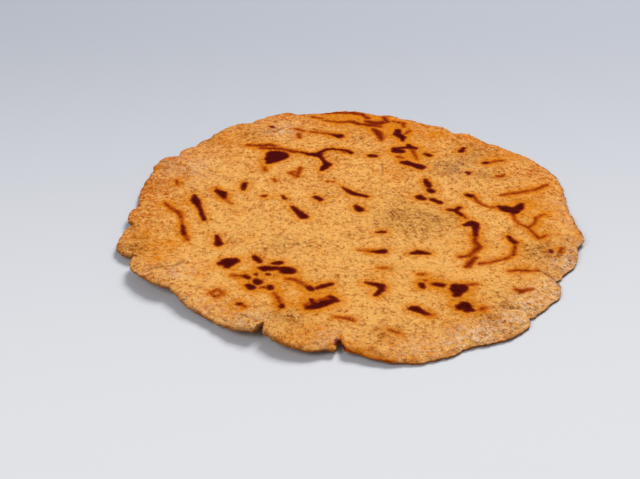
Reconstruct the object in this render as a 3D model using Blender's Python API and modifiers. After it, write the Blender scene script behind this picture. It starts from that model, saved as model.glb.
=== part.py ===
"""Roti: one round, hand-rolled flatbread, lying on its flat underside.

Blender script, metres, +Z up. The origin is the centre of the bread's footprint, on the surface
that it lies on. Bearings are in degrees, anticlockwise from +X as seen from above.
"""

import math

import bmesh
import bpy
import numpy as np
from mathutils import Vector, noise

MM = 0.001

# The bread as rolled
ROUND_RADIUS = 94.7 * MM  # mean radius of the round
THICKNESS = 2.6 * MM  # in the middle
RIM_THICKNESS = 2.1 * MM  # where the rolling pin ran off the edge
RIM_TAPER = 16 * MM  # width of the band in which the bread thins towards its rim
RIM_ROUNDING = 0.85 * MM  # rounding of the rim's two corners
ROUNDING_STEPS = 2

# The rim is a row of shallow lobes between creases. Each row: the crease's bearing, how far the
# rim stands out from the mean radius there, and how far the lobe that follows swells past the
# straight line to the next crease, both in millimetres.
EDGE_LOBES = (
    (3, -3.2, 5.9),
    (46, -2.2, 1.6),
    (57, -2.0, 1.5),
    (80, 1.8, 0.7),
    (103, 4.3, 3.4),
    (116, 4.3, 2.8),
    (137, 0.6, 1.4),
    (146, -1.0, 3.6),
    (155, 0.3, 0.5),
    (174, -4.4, 1.6),
    (185, -4.2, 4.0),
    (201, -0.9, 3.0),
    (219, -5.2, 0.4),
    (231, -4.0, 1.2),
    (248, -2.6, 1.9),
    (267, -1.1, 3.7),
    (294, 2.3, 2.4),
    (313, 2.0, 1.0),
    (330, -0.8, 0.8),
    (345, -1.5, 3.4),
)

# Small lobes and dips on top of those. Each row: bearing, half width in degrees, and how far the
# rim stands out in millimetres, or in where it is negative.
SMALL_LOBES = (
    (4, 3.5, 1.4),
    (22, 6, 1.6),
    (31, 4, 1.4),
    (38, 5, 1.2),
    (45, 4, 1.7),
    (54, 2.5, 1.7),
    (56.5, 2, -0.8),
    (61, 3, 2.4),
    (69, 3, 0.6),
    (77.5, 3.5, 2.4),
    (81, 1.5, -0.8),
    (87, 3.5, 1.6),
    (96, 2, -0.6),
    (101, 2, 0.6),
    (105, 2.5, 3.0),
    (110, 3, 0.7),
    (112.5, 1.6, -1.0),
    (121, 4, 1.8),
    (131, 4.5, -1.2),
    (144.5, 1.6, -1.8),
    (151, 2.2, -1.6),
    (160, 6, -0.8),
    (172, 7, -1.0),
    (176.5, 1.8, -0.9),
    (188, 4, -0.9),
    (201, 3, -1.6),
    (222, 5, -1.3),
    (235, 5, -1.5),
    (243.5, 4, -1.1),
    (250.5, 2.2, -1.5),
    (263.5, 2, -1.8),
    (270.5, 2.6, -1.9),
    (275, 2, -0.7),
    (289, 7, 1.1),
    (297, 2.5, -0.8),
    (305, 6, 0.9),
    (310, 3.5, 1.4),
    (325, 3.5, 1.5),
    (333, 3, -1.7),
    (342, 5, 1.5),
    (350, 4, 1.1),
    (355.5, 3, -1.8),
)

# Where the rim has split or been folded in on itself. Each row: bearing, depth and half width of
# the split, and how far the lobe after it stands above the lobe before it, all in millimetres.
RIM_SPLITS = (
    (146, 1.2, 2.0, 0.3),
    (185, 1.0, 1.8, -0.5),
    (201, 2.4, 1.6, 0.9),
    (248, 4.4, 1.4, -0.5),
    (267, 5.6, 1.5, 0.7),
    (313, 1.2, 1.6, -0.3),
    (330, 1.6, 1.7, 1.1),
)
SPLIT_SHARPNESS = 0.8  # power of the share of its half width with which a split narrows
SPLIT_REACH = 14 * MM  # how far along and in from the rim the step at a split dies away
SPLIT_FADE = 9  # power of the radius with which a split closes towards the middle

# Where the baked bread stands clear of the table. Each row: x, y, spread and height in
# millimetres. Heights add up, and CONTACT_DROP of the sum is lost where the bread sags flat.
RISES = (
    (-78, -52, 27, 5.6),
    (-92, -2, 22, 3.0),
    (-30, -84, 24, 5.0),
    (4, -97, 16, 1.3),
    (-84, 50, 24, 2.6),
    (0, 99, 26, 2.2),
    (60, 74, 24, 1.2),
    (52, -50, 21, 3.4),
    (84, -8, 20, 3.0),
    (12, -72, 20, 2.2),
)
CONTACT_DROP = 0.9 * MM

# Blisters that puffed up on the griddle. Each row: x, y, radius and height in millimetres.
BLISTERS = (
    (-31, 86, 9, 1.1),
    (-68, 44, 13, 1.0),
    (-4, 62, 9, 0.8),
    (50, 48, 17, 0.9),
    (79, -26, 11, 1.0),
    (47, -75, 12, 0.8),
    (-78, -12, 13, 0.8),
    (22, -4, 16, 0.5),
    (-24, -70, 13, 0.8),
)
WAVE_LENGTH = 34 * MM  # gentle unevenness of the rolled sheet
WAVE_HEIGHT = 0.5 * MM

# The mesh: rings from the middle to the rim, crowded together at the rim and at its splits
RINGS = 26
RIM_CROWDING = 0.35
SPLIT_CROWDING = 2.2
FULLY_CROWDED_DEPTH = 3.0  # in millimetres, the split that crowds the points most
CROWDED_DEGREES = 3.0
SECTOR_MARGIN = 1e-4
BEARING_STEPS = 3600

CRUST_COLOUR = (0.65, 0.25, 0.05, 1.0)
CRUST_ROUGHNESS = 0.62


def clear_scene():
    for obj in list(bpy.data.objects):
        bpy.data.objects.remove(obj)


def turn_between(bearing, other):
    """Signed degrees from other to bearing, the short way round."""
    return (bearing - other + 180) % 360 - 180


def crowded_bearings(shares):
    """Bearings for equal shares of the rim's points, which lie closer together at the splits."""
    steps = np.arange(BEARING_STEPS + 1) * (360 / BEARING_STEPS)
    density = np.ones_like(steps)
    for bearing, depth, _, _ in RIM_SPLITS:
        nearness = np.exp(-((turn_between(steps, bearing) / CROWDED_DEGREES) ** 2))
        density += SPLIT_CROWDING * min(depth / FULLY_CROWDED_DEPTH, 1) * nearness
    passed = np.concatenate([[0], np.cumsum((density[1:] + density[:-1]) / 2)])
    return np.interp(shares, passed / passed[-1], steps)


def rim_radius(bearing):
    """Distance from the middle to the lobed rim, in metres."""
    starts, offsets, swells = (np.array(column, float) for column in zip(*EDGE_LOBES))
    spans = np.diff(np.append(starts, starts[0] + 360))
    past_first = (bearing - starts[0]) % 360 + starts[0]
    lobe = np.searchsorted(starts, past_first, side="right") - 1
    along = (past_first - starts[lobe]) / spans[lobe]
    chord = offsets[lobe] * (1 - along) + np.roll(offsets, -1)[lobe] * along
    standing_out = chord + swells[lobe] * 4 * along * (1 - along)
    for at, half_width, size in SMALL_LOBES:
        standing_out += size * np.exp(-((turn_between(bearing, at) / half_width) ** 2))
    return ROUND_RADIUS + standing_out * MM


def split_depth(bearing):
    """How far the splits cut into the rim, in metres."""
    cut = np.zeros_like(bearing)
    for at, depth, half_width, _ in RIM_SPLITS:
        across = np.radians(np.abs(turn_between(bearing, at))) * ROUND_RADIUS / MM
        cut = np.maximum(cut, depth * np.clip(1 - across / half_width, 0, 1) ** SPLIT_SHARPNESS)
    return cut * MM


def split_step(bearing, inward):
    """Height by which the lobes beside a split ride over or under each other, in metres."""
    step = np.zeros_like(bearing)
    for at, _, half_width, height in RIM_SPLITS:
        across = np.radians(turn_between(bearing, at)) * ROUND_RADIUS
        side = np.clip(across / (half_width * MM), -1, 1) / 2
        step += height * side * np.exp(-np.abs(across) / SPLIT_REACH)
    return step * MM * np.exp(-inward / SPLIT_REACH)


def sheet_points(share, bearing):
    """x and y of points on the sheet, by their share of the way to the rim and their bearing."""
    lobed = ROUND_RADIUS + (rim_radius(bearing) - ROUND_RADIUS) * share**2
    radius = share * lobed - split_depth(bearing) * share**SPLIT_FADE
    turn = np.radians(bearing)
    return radius * np.cos(turn), radius * np.sin(turn)


def bumps(x, y, rows):
    """Sum of rounded bumps, in metres, from rows of x, y, radius and height in millimetres."""
    total = np.zeros_like(x)
    for at_x, at_y, radius, height in rows:
        away = np.hypot(x - at_x * MM, y - at_y * MM) / (radius * MM)
        total += height * MM * np.exp(-(away**2))
    return total


def rolling_waves(x, y):
    """Unevenness left by the rolling pin, in metres."""
    return WAVE_HEIGHT * np.array(
        [noise.noise(Vector((a, b, 0)) / WAVE_LENGTH) for a, b in zip(x, y)]
    )


def underside_height(x, y, bearing, inward):
    """Height of the underside over the table: zero where the bread lies on it."""
    lifted = bumps(x, y, RISES) + split_step(bearing, inward) + rolling_waves(x, y)
    return np.maximum(lifted - CONTACT_DROP, 0)


def bread_thickness(inward):
    """Thickness of the sheet by the distance in from the rim, in metres."""
    along = np.clip(inward / RIM_TAPER, 0, 1)
    return RIM_THICKNESS + (THICKNESS - RIM_THICKNESS) * along * along * (3 - 2 * along)


def flat_round():
    """A flat round of even thickness with a rounded rim, as one closed mesh."""
    sheet = bmesh.new()
    bmesh.ops.create_circle(sheet, cap_ends=True, cap_tris=True, segments=6, radius=1)
    bmesh.ops.subdivide_edges(sheet, edges=sheet.edges, cuts=RINGS - 1, use_grid_fill=True)
    mesh = bpy.data.meshes.new("flat_round")
    sheet.to_mesh(mesh)
    sheet.free()
    corners = np.empty(len(mesh.vertices) * 3, np.float32)
    mesh.vertices.foreach_get("co", corners)
    hexagon = corners.reshape(-1, 3).astype(float)
    sector_turn = np.radians(60)
    first_corner = sector_turn / 2
    bearing = np.arctan2(hexagon[:, 1], hexagon[:, 0]) - first_corner
    sector = np.floor(bearing / sector_turn + SECTOR_MARGIN)
    within = bearing - sector * sector_turn - sector_turn / 2
    length = np.hypot(hexagon[:, 0], hexagon[:, 1])
    ring = length * np.cos(within) / math.cos(sector_turn / 2)
    along = (np.tan(within) / math.tan(sector_turn / 2) + 1) / 2
    turn = (sector + along) * sector_turn + first_corner
    radius = ROUND_RADIUS * ring * (1 + RIM_CROWDING * (1 - ring))
    flat = np.stack([radius * np.cos(turn), radius * np.sin(turn), np.zeros_like(turn)], 1)
    mesh.vertices.foreach_set("co", flat.astype(np.float32).ravel())
    mesh.update()
    return mesh


def solid_round(collection):
    """The flat round given its thickness and rounded rim by modifiers, made into a plain mesh."""
    blank = bpy.data.objects.new("blank", flat_round())
    collection.objects.link(blank)
    thicken = blank.modifiers.new("Thickness", "SOLIDIFY")
    thicken.thickness = THICKNESS
    thicken.offset = 0
    rounding = blank.modifiers.new("RoundedRim", "BEVEL")
    rounding.width = RIM_ROUNDING
    rounding.segments = ROUNDING_STEPS
    rounding.limit_method = "ANGLE"
    rounding.angle_limit = math.radians(60)
    graph = bpy.context.evaluated_depsgraph_get()
    mesh = bpy.data.meshes.new_from_object(blank.evaluated_get(graph))
    bpy.data.objects.remove(blank)
    return mesh


def shape_bread(mesh):
    """Moves the round's points to the baked bread's outline and heights, centred on the origin."""
    places = np.empty(len(mesh.vertices) * 3, np.float32)
    mesh.vertices.foreach_get("co", places)
    places = places.reshape(-1, 3).astype(float)
    share = np.hypot(places[:, 0], places[:, 1]) / ROUND_RADIUS
    turned = np.degrees(np.arctan2(places[:, 1], places[:, 0])) % 360
    through = places[:, 2] / THICKNESS + 0.5
    bearing = crowded_bearings(turned / 360)
    x, y = sheet_points(share, bearing)
    inward = (1 - share) * ROUND_RADIUS
    low = underside_height(x, y, bearing, inward)
    high = low + bread_thickness(inward) + bumps(x, y, BLISTERS)
    shaped = np.stack([x, y, low + (high - low) * through], 1)
    middle = (shaped.max(0) + shaped.min(0)) / 2
    middle[2] = shaped[:, 2].min()
    mesh.vertices.foreach_set("co", (shaped - middle).astype(np.float32).ravel())
    mesh.update()


def crust_material():
    material = bpy.data.materials.new("baked_crust")
    material.use_nodes = True
    shader = material.node_tree.nodes["Principled BSDF"]
    shader.inputs["Base Color"].default_value = CRUST_COLOUR
    shader.inputs["Roughness"].default_value = CRUST_ROUGHNESS
    shader.inputs["Metallic"].default_value = 0.0
    return material


def main():
    clear_scene()
    collection = bpy.data.collections.new("roti")
    bpy.context.scene.collection.children.link(collection)
    mesh = solid_round(collection)
    shape_bread(mesh)
    mesh.name = "roti"
    mesh.materials.append(crust_material())
    mesh.shade_smooth()
    collection.objects.link(bpy.data.objects.new("roti", mesh))


main()
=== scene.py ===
"""Roti: a griddle-baked wholemeal flatbread, with its crust, burn marks and bran, on a pale stage.

Laid out as a Blender add-on and run as a script. Metres, +Z up; the bread lies on z = 0 with the
middle of its footprint at the origin. Tables are in millimetres, and bearings are in degrees,
anticlockwise from +X as seen from above.
"""

import math

import bpy
import numpy as np
from bpy.props import FloatProperty, FloatVectorProperty, IntProperty, PointerProperty
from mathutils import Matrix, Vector, noise


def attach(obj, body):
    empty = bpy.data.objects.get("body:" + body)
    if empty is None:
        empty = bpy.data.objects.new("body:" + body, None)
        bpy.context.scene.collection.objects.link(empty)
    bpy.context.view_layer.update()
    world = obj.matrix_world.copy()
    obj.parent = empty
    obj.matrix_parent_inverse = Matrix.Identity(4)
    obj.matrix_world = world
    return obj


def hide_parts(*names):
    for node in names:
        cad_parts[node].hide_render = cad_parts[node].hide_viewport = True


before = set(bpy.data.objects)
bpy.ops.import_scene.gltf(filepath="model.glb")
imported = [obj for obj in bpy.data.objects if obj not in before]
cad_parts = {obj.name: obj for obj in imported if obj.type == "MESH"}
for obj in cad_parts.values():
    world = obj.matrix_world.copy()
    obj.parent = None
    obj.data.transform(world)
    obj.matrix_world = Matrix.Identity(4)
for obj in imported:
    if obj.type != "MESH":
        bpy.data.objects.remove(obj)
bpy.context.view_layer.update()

bl_info = {
    "name": "Roti",
    "version": (1, 0, 0),
    "blender": (4, 5, 0),
    "location": "3D View > Sidebar > Roti",
    "description": "Bakes a roti's crust, burn marks and bran, and lays it on a pale stage",
    "category": "Add Mesh",
}

MM = 0.001
NODE = "roti"

# The bread as rolled, in millimetres
ROUND_RADIUS = 94.7
THICKNESS = 2.6
RIM_THICKNESS = 2.1
RIM_TAPER = 16.0
RIM_BULGE = 1.0

# Lobes of the rim. Each row: the bearing of the crease before the lobe, how far the rim stands
# out from the round there, and how far the lobe swells past the straight line to the next crease.
EDGE_LOBES = (
    (3, -3.2, 5.9),
    (46, -2.2, 1.6),
    (57, -2.0, 1.5),
    (80, 1.8, 0.7),
    (103, 4.3, 3.4),
    (116, 4.3, 2.8),
    (137, 0.6, 1.4),
    (146, -1.0, 3.6),
    (155, 0.3, 0.5),
    (174, -4.4, 1.6),
    (185, -4.2, 4.0),
    (201, -0.9, 3.0),
    (219, -5.2, 0.4),
    (231, -4.0, 1.2),
    (248, -2.6, 1.9),
    (267, -1.1, 3.7),
    (294, 2.3, 2.4),
    (313, 2.0, 1.0),
    (330, -0.8, 0.8),
    (345, -1.5, 3.4),
)

# Small lobes and dips on top of those: bearing, half width in degrees, and how far the rim stands
# out or, where negative, in.
SMALL_LOBES = (
    (4, 3.5, 1.4),
    (22, 6, 1.6),
    (31, 4, 1.4),
    (38, 5, 1.2),
    (45, 4, 1.7),
    (54, 2.5, 1.7),
    (56.5, 2, -0.8),
    (61, 3, 2.4),
    (69, 3, 0.6),
    (77.5, 3.5, 2.4),
    (81, 1.5, -0.8),
    (87, 3.5, 1.6),
    (96, 2, -0.6),
    (101, 2, 0.6),
    (105, 2.5, 3.0),
    (110, 3, 0.7),
    (112.5, 1.6, -1.0),
    (121, 4, 1.8),
    (131, 4.5, -1.2),
    (144.5, 1.6, -1.8),
    (151, 2.2, -1.6),
    (160, 6, -0.8),
    (172, 7, -1.0),
    (176.5, 1.8, -0.9),
    (188, 4, -0.9),
    (201, 3, -1.6),
    (222, 5, -1.3),
    (235, 5, -1.5),
    (243.5, 4, -1.1),
    (250.5, 2.2, -1.5),
    (263.5, 2, -1.8),
    (270.5, 2.6, -1.9),
    (275, 2, -0.7),
    (289, 7, 1.1),
    (297, 2.5, -0.8),
    (305, 6, 0.9),
    (310, 3.5, 1.4),
    (325, 3.5, 1.5),
    (333, 3, -1.7),
    (342, 5, 1.5),
    (350, 4, 1.1),
    (355.5, 3, -1.8),
)

# Splits in the rim. Each row: bearing, depth, half width, and how far the lobe after the split
# stands above the lobe before it.
RIM_SPLITS = (
    (146, 1.2, 2.0, 0.3),
    (185, 1.0, 1.8, -0.5),
    (201, 2.4, 1.6, 0.9),
    (248, 4.4, 1.4, -0.5),
    (267, 5.6, 1.5, 0.7),
    (313, 1.2, 1.6, -0.3),
    (330, 1.6, 1.7, 1.1),
)

# How bluntly a split ends, and how deep, how wide and how pointed its flared mouth is beside it
SPLIT_BLUNTNESS = 0.8
MOUTH_SHARE = 0.34
MOUTH_WIDTH = 4.5
MOUTH_FLARE = 1.6

# How far the step at a split reaches, and how fast its cut fades towards the middle
SPLIT_REACH = 14.0
SPLIT_FADE = 9

# Where the bread stands clear of the table, and its blisters: x, y, spread and height.
RISES = (
    (-78, -52, 27, 5.6),
    (-92, -2, 22, 3.0),
    (-30, -84, 24, 5.0),
    (4, -97, 16, 1.3),
    (-84, 50, 24, 2.6),
    (0, 99, 26, 2.2),
    (60, 74, 24, 1.2),
    (52, -50, 21, 3.4),
    (84, -8, 20, 3.0),
    (12, -72, 20, 2.2),
)
CONTACT_DROP = 0.9
BLISTERS = (
    (-31, 86, 9, 1.1),
    (-68, 44, 13, 1.0),
    (-4, 62, 9, 0.8),
    (50, 48, 17, 0.9),
    (79, -26, 11, 1.0),
    (47, -75, 12, 0.8),
    (-78, -12, 13, 0.8),
    (22, -4, 16, 0.5),
    (-24, -70, 13, 0.8),
)
WAVE_LENGTH = 34.0
WAVE_HEIGHT = 0.5

# How far the top of the rim bends down, by bearing, half width in degrees, and millimetres
RIM_DROOPS = (
    (290, 26, 0.9),
    (330, 22, 1.0),
    (0, 25, 0.6),
)
DROOP_REACH = 3.2

# How much the top's corner is rounded off at the rim, and how far in that reaches
RIM_ROUNDING = 0.35
ROUNDING_REACH = 1.6

# The skin's mesh: rings of points from the middle of the top, over the rim, to the middle below
TOP_RINGS = 154
UNDER_RINGS = 60
RIM_ROWS = 5
RIM_CROWDING = 0.45
SPLIT_CROWDING = 2.2
CROWDED_DEGREES = 3.0
FULLY_CROWDED_DEPTH = 3
BEARING_STEPS = 3600

# Relief of the baked top: wavelength and height of each layer of unevenness
CRUST_RELIEF = ((11.0, 0.42), (4.6, 0.3), (2.1, 0.2), (1.2, 0.09))
RIM_RAGGEDNESS = ((3.4, 0.4), (1.5, 0.3))
RAGGED_SEED = 5.0
RAGGED_REACH = 5
NOISE_GAIN = 1.6

# Bands of fine crinkles, where the rim dried and drew together: x, y, radius and height. Each
# crinkle runs square to the rim.
CRINKLES = (
    (77, -53, 8, 0.34),
    (68, -64, 8, 0.34),
    (59, -75, 7, 0.34),
    (46, -82, 7, 0.3),
    (37, -87, 8, 0.34),
    (85, -37, 8, 0.36),
    (93, -22, 6, 0.28),
    (94, -4, 6, 0.22),
    (91, 12, 6, 0.16),
    (20, -92, 8, 0.18),
    (-70, 43, 13, 0.22),
    (-31, 80, 8, 0.3),
    (-66, -42, 6, 0.3),
    (-83, -40, 7, 0.16),
    (-40, -74, 7, 0.3),
    (-57, -66, 10, 0.14),
    (50, 42, 10, 0.1),
    (-8, -86, 7, 0.2),
)
CRINKLE_LENGTH = 7.0
CRINKLE_WIDTH = 1.5
CRINKLE_SEED = 31.0
CRUMB_LENGTH = 0.9
CRUMB_SHARE = 0.45
CRUMB_SEED = 37.0

# Cracks in the crust, as rows of (x, y, half width) points, and their depth
CRACKS = (
    ((-64.7, -36.8, 0.25), (-66.3, -39.0, 0.5), (-67.6, -41.6, 0.35)),
    ((-67.6, -41.6, 0.15), (-72, -43.2, 0.2), (-76, -44, 0.15), (-79, -46, 0.2)),
    ((73, -41, 0.2), (76, -42.6, 0.25), (79, -44, 0.3)),
    ((15.9, 46, 0.15), (16.2, 41, 0.25), (15.6, 36, 0.2)),
    ((17.5, -39.5, 0.15), (19.2, -42.5, 0.2), (20.5, -46, 0.15)),
    ((11.5, -58.5, 0.15), (13.6, -61, 0.15), (14.5, -64, 0.1)),
    ((-36, -77, 0.2), (-34.6, -80, 0.4)),
    ((-41, -73, 0.15), (-38.5, -74.6, 0.2), (-37, -76, 0.15)),
    ((-29.8, 91.5, 0.15), (-27.2, 90, 0.2), (-25.5, 87, 0.15)),
    ((-33.5, 77, 0.15), (-30, 79, 0.2), (-27.6, 82.5, 0.15)),
    ((55, -65.5, 0.15), (59, -66.5, 0.2), (62, -65.2, 0.15)),
)
CRACK_DEPTH = 0.55
CRACK_SLOPE = 0.9

# Ridges raised by steam: rows of (x, y, half width) points, and their height
RIDGES = (
    ((-35, 78, 1.2), (-31.5, 80, 1.8), (-28, 84.5, 1.2)),
    ((-71, -38, 1.2), (-73, -41, 1.5), (-72, -43, 1.0)),
    ((14.6, 44, 0.8), (14.8, 38, 1.1)),
    ((60, 60, 1.2), (63, 55, 1.2)),
)
RIDGE_HEIGHT = 0.5

# Marks burnt by the griddle, as rows of (x, y, half width) points. First the charred ones.
CHAR_MARKS = (
    ((-33.6, 54.6, 3.6), (-31.2, 53.6, 4.2), (-34, 50.5, 3.4), (-35.6, 47.4, 1.5)),
    ((-21.3, 57, 0.5), (-18, 55.3, 1.1), (-14.2, 54.6, 2.0)),
    ((-14.2, 54.6, 1.8), (-12, 57.6, 0.9), (-10, 59.6, 0.8), (-7.4, 60.3, 0.8)),
    ((-7.4, 60.3, 0.8), (-4, 59.5, 0.7), (-0.6, 58.7, 0.8), (1.6, 56.4, 0.9)),
    ((-13, 54, 1.4), (-11.8, 51, 0.7), (-10.6, 48, 0.9), (-9.4, 45.2, 2.0)),
    ((-9.4, 45.2, 1.8), (-10.6, 42.8, 1.7), (-12, 40.2, 0.8)),
    ((-6.4, 74, 0.9), (-3.6, 73.0, 2.0)),
    ((-35.6, 82.8, 0.8), (-34.6, 81.6, 0.5)),
    ((-45.4, 28.2, 1.0), (-45.8, 25.5, 1.2), (-45.8, 22.6, 0.6)),
    ((-57, 21.6, 1.0), (-54.8, 19.4, 2.1), (-53.6, 16, 0.9)),
    ((-66.8, 18, 0.5), (-65.8, 13.6, 1.8), (-63.6, 7.4, 0.8), (-60.8, -2.6, 0.8)),
    ((-37, 17.2, 0.7), (-36.2, 17, 0.8)),
    ((-28.7, 17, 0.5), (-27.6, 14.6, 0.5)),
    ((-14.6, 16.2, 1.2), (-12.4, 14.2, 1.2)),
    ((-24.4, 8.2, 0.6), (-22.6, 5, 1.2), (-19.5, 0, 1.9)),
    ((-2.8, 24.7, 0.5), (0.3, 20.4, 1.2), (2, 18.9, 1.2), (7.3, 16.8, 0.8)),
    ((2.6, 8.6, 0.9), (4, 5.9, 1.9)),
    ((10, 53.7, 1.2), (12, 53.4, 1.3)),
    ((24, 78.8, 1.4), (23.4, 75, 1.8), (25.6, 72, 1.8), (25.6, 68.2, 0.6)),
    ((21.4, 60.6, 1.1), (22, 58.4, 2.1), (24.4, 57.8, 1.8)),
    ((28, 64.4, 0.8), (28.8, 62, 1.6), (31, 60.9, 1.1)),
    ((21.4, 60.6, 1.1), (26, 61.4, 0.9), (28.8, 62, 1.2)),
    ((35.2, 55.2, 0.9), (37, 53.9, 1.2)),
    ((24.4, 47.2, 1.2), (26, 47, 1.9), (29, 45.2, 1.5), (32.2, 42.9, 2.1)),
    ((53, 60.8, 0.8), (51.7, 57.8, 1.2)),
    ((60.8, 46.6, 0.9), (62, 46.9, 1.2)),
    ((52.8, 37.6, 1.2), (52.9, 36.6, 0.8)),
    ((33.6, 31.4, 0.7), (34.1, 28, 1.4), (34.6, 25.6, 1.3)),
    ((34.8, 22.4, 1.4), (35.4, 21.2, 1.7)),
    ((30, 16, 1.9), (31.2, 15, 1.4)),
    ((35.2, 14.2, 1.2), (38.4, 11.6, 1.1)),
    ((50.6, 17.8, 1.2), (52, 17.2, 1.3)),
    ((63, 8, 1.0), (65.4, 6.4, 2.4), (68.8, 4.8, 2.5), (71.6, 7.6, 1.8), (72.6, 10, 1.1)),
    ((41.2, 5.6, 0.7), (44, 5.2, 1.1), (45, 3.4, 0.9), (46.4, 0.8, 0.6)),
    ((44, 5.2, 0.9), (46.4, 7.6, 0.7)),
    ((-54.6, -15.2, 0.6), (-53.9, -18.6, 1.1), (-53.4, -21.4, 1.6)),
    ((-69.4, -7, 0.5), (-68.8, -10.4, 0.8), (-68, -13.8, 0.9)),
    ((-51.6, -35.8, 1.3), (-49, -35, 3.0), (-46.4, -33.8, 1.9)),
    ((-49, -35, 2.6), (-49, -37.6, 1.4)),
    ((-38.6, -30.8, 0.9), (-37.4, -32.8, 1.3), (-36.4, -34.6, 0.9)),
    ((-31.2, -35.8, 0.6), (-29.2, -35.4, 1.3), (-28, -35.1, 1.0)),
    ((-36, -38.9, 0.9), (-34.2, -39.4, 1.9), (-30, -39.3, 1.1), (-25, -39.5, 1.3)),
    ((-26.4, -41, 2.0), (-24, -41.2, 2.1)),
    ((-37.6, -43.4, 0.7), (-37.5, -43.5, 0.7)),
    ((-33, -43.3, 0.7), (-32.6, -43.6, 0.7)),
    ((-41.6, -44.6, 0.9), (-40.6, -45.8, 1.0)),
    ((-37.2, -47.6, 1.2), (-36.6, -48.8, 1.9)),
    ((-39, -52.4, 1.7), (-40, -51.2, 1.2)),
    ((-31.7, -51.6, 0.9), (-31.5, -53, 1.2)),
    ((-26.9, -64.6, 0.9), (-27.1, -65.4, 0.9)),
    ((-16.8, -52.6, 1.1), (-15.8, -53.8, 1.2)),
    ((-14, -53, 0.7), (-11.6, -51.6, 1.2), (-8.2, -50.2, 0.7)),
    ((-17.2, -65.8, 1.2), (-14.4, -65, 1.8), (-11.6, -63.2, 2.0), (-8.6, -61.6, 1.5)),
    ((-8.6, -61.6, 1.3), (-6.6, -61.2, 1.0)),
    ((-8.8, -58.6, 0.8), (-7.2, -60.2, 1.0)),
    ((-16, -60.6, 0.7), (-15.4, -62.6, 0.8)),
    ((47, -6.8, 1.0), (50, -5.6, 2.0), (51.4, -6.4, 1.8), (51, -11, 1.1), (50.6, -15, 0.8)),
    ((63.8, -15.6, 0.5), (64.6, -18.6, 1.1), (66, -20.4, 1.0)),
    ((8.2, -27.2, 0.5), (10.6, -27.2, 1.3), (12.8, -27, 1.4)),
    ((23.4, -28.6, 0.5), (26.2, -27.6, 1.5), (28.4, -28, 1.2), (31, -28.8, 0.4)),
    ((10.4, -12.5, 0.4), (13.6, -12.1, 0.7)),
    ((5, -49.2, 0.5), (8, -50.3, 1.0), (11, -51.6, 1.3), (10.6, -54, 1.2), (8.6, -57.4, 0.9)),
    ((26, -50.2, 1.0), (26.3, -52, 1.1)),
    ((31.4, -50.4, 1.0), (34, -51, 1.2)),
    ((38.6, -51.6, 1.6), (39.8, -54, 3.0), (41.6, -52.6, 2.2), (38.9, -57.6, 1.4)),
    ((39.4, -65.6, 1.7), (41.4, -64, 2.0), (42, -67, 1.8), (43.8, -67.6, 0.9)),
    ((21.4, -66.4, 1.3), (23, -66.8, 1.9), (25.4, -68.8, 1.1), (27.4, -70.2, 0.5)),
    ((79.2, -27.6, 0.7), (79.5, -26.6, 0.6)),
    ((94.2, -13.4, 0.5), (94.3, -12.8, 0.4)),
    ((61.5, 70.8, 0.4), (61.6, 71.2, 0.4)),
    ((-88, 42.2, 0.4), (-88, 41.4, 0.4)),
    ((-42.9, -63.6, 0.7), (-42.6, -63.3, 0.6)),
    ((-6.7, -86, 0.6), (-6.1, -88.4, 1.1), (-4.6, -90.8, 0.9)),
)

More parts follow.
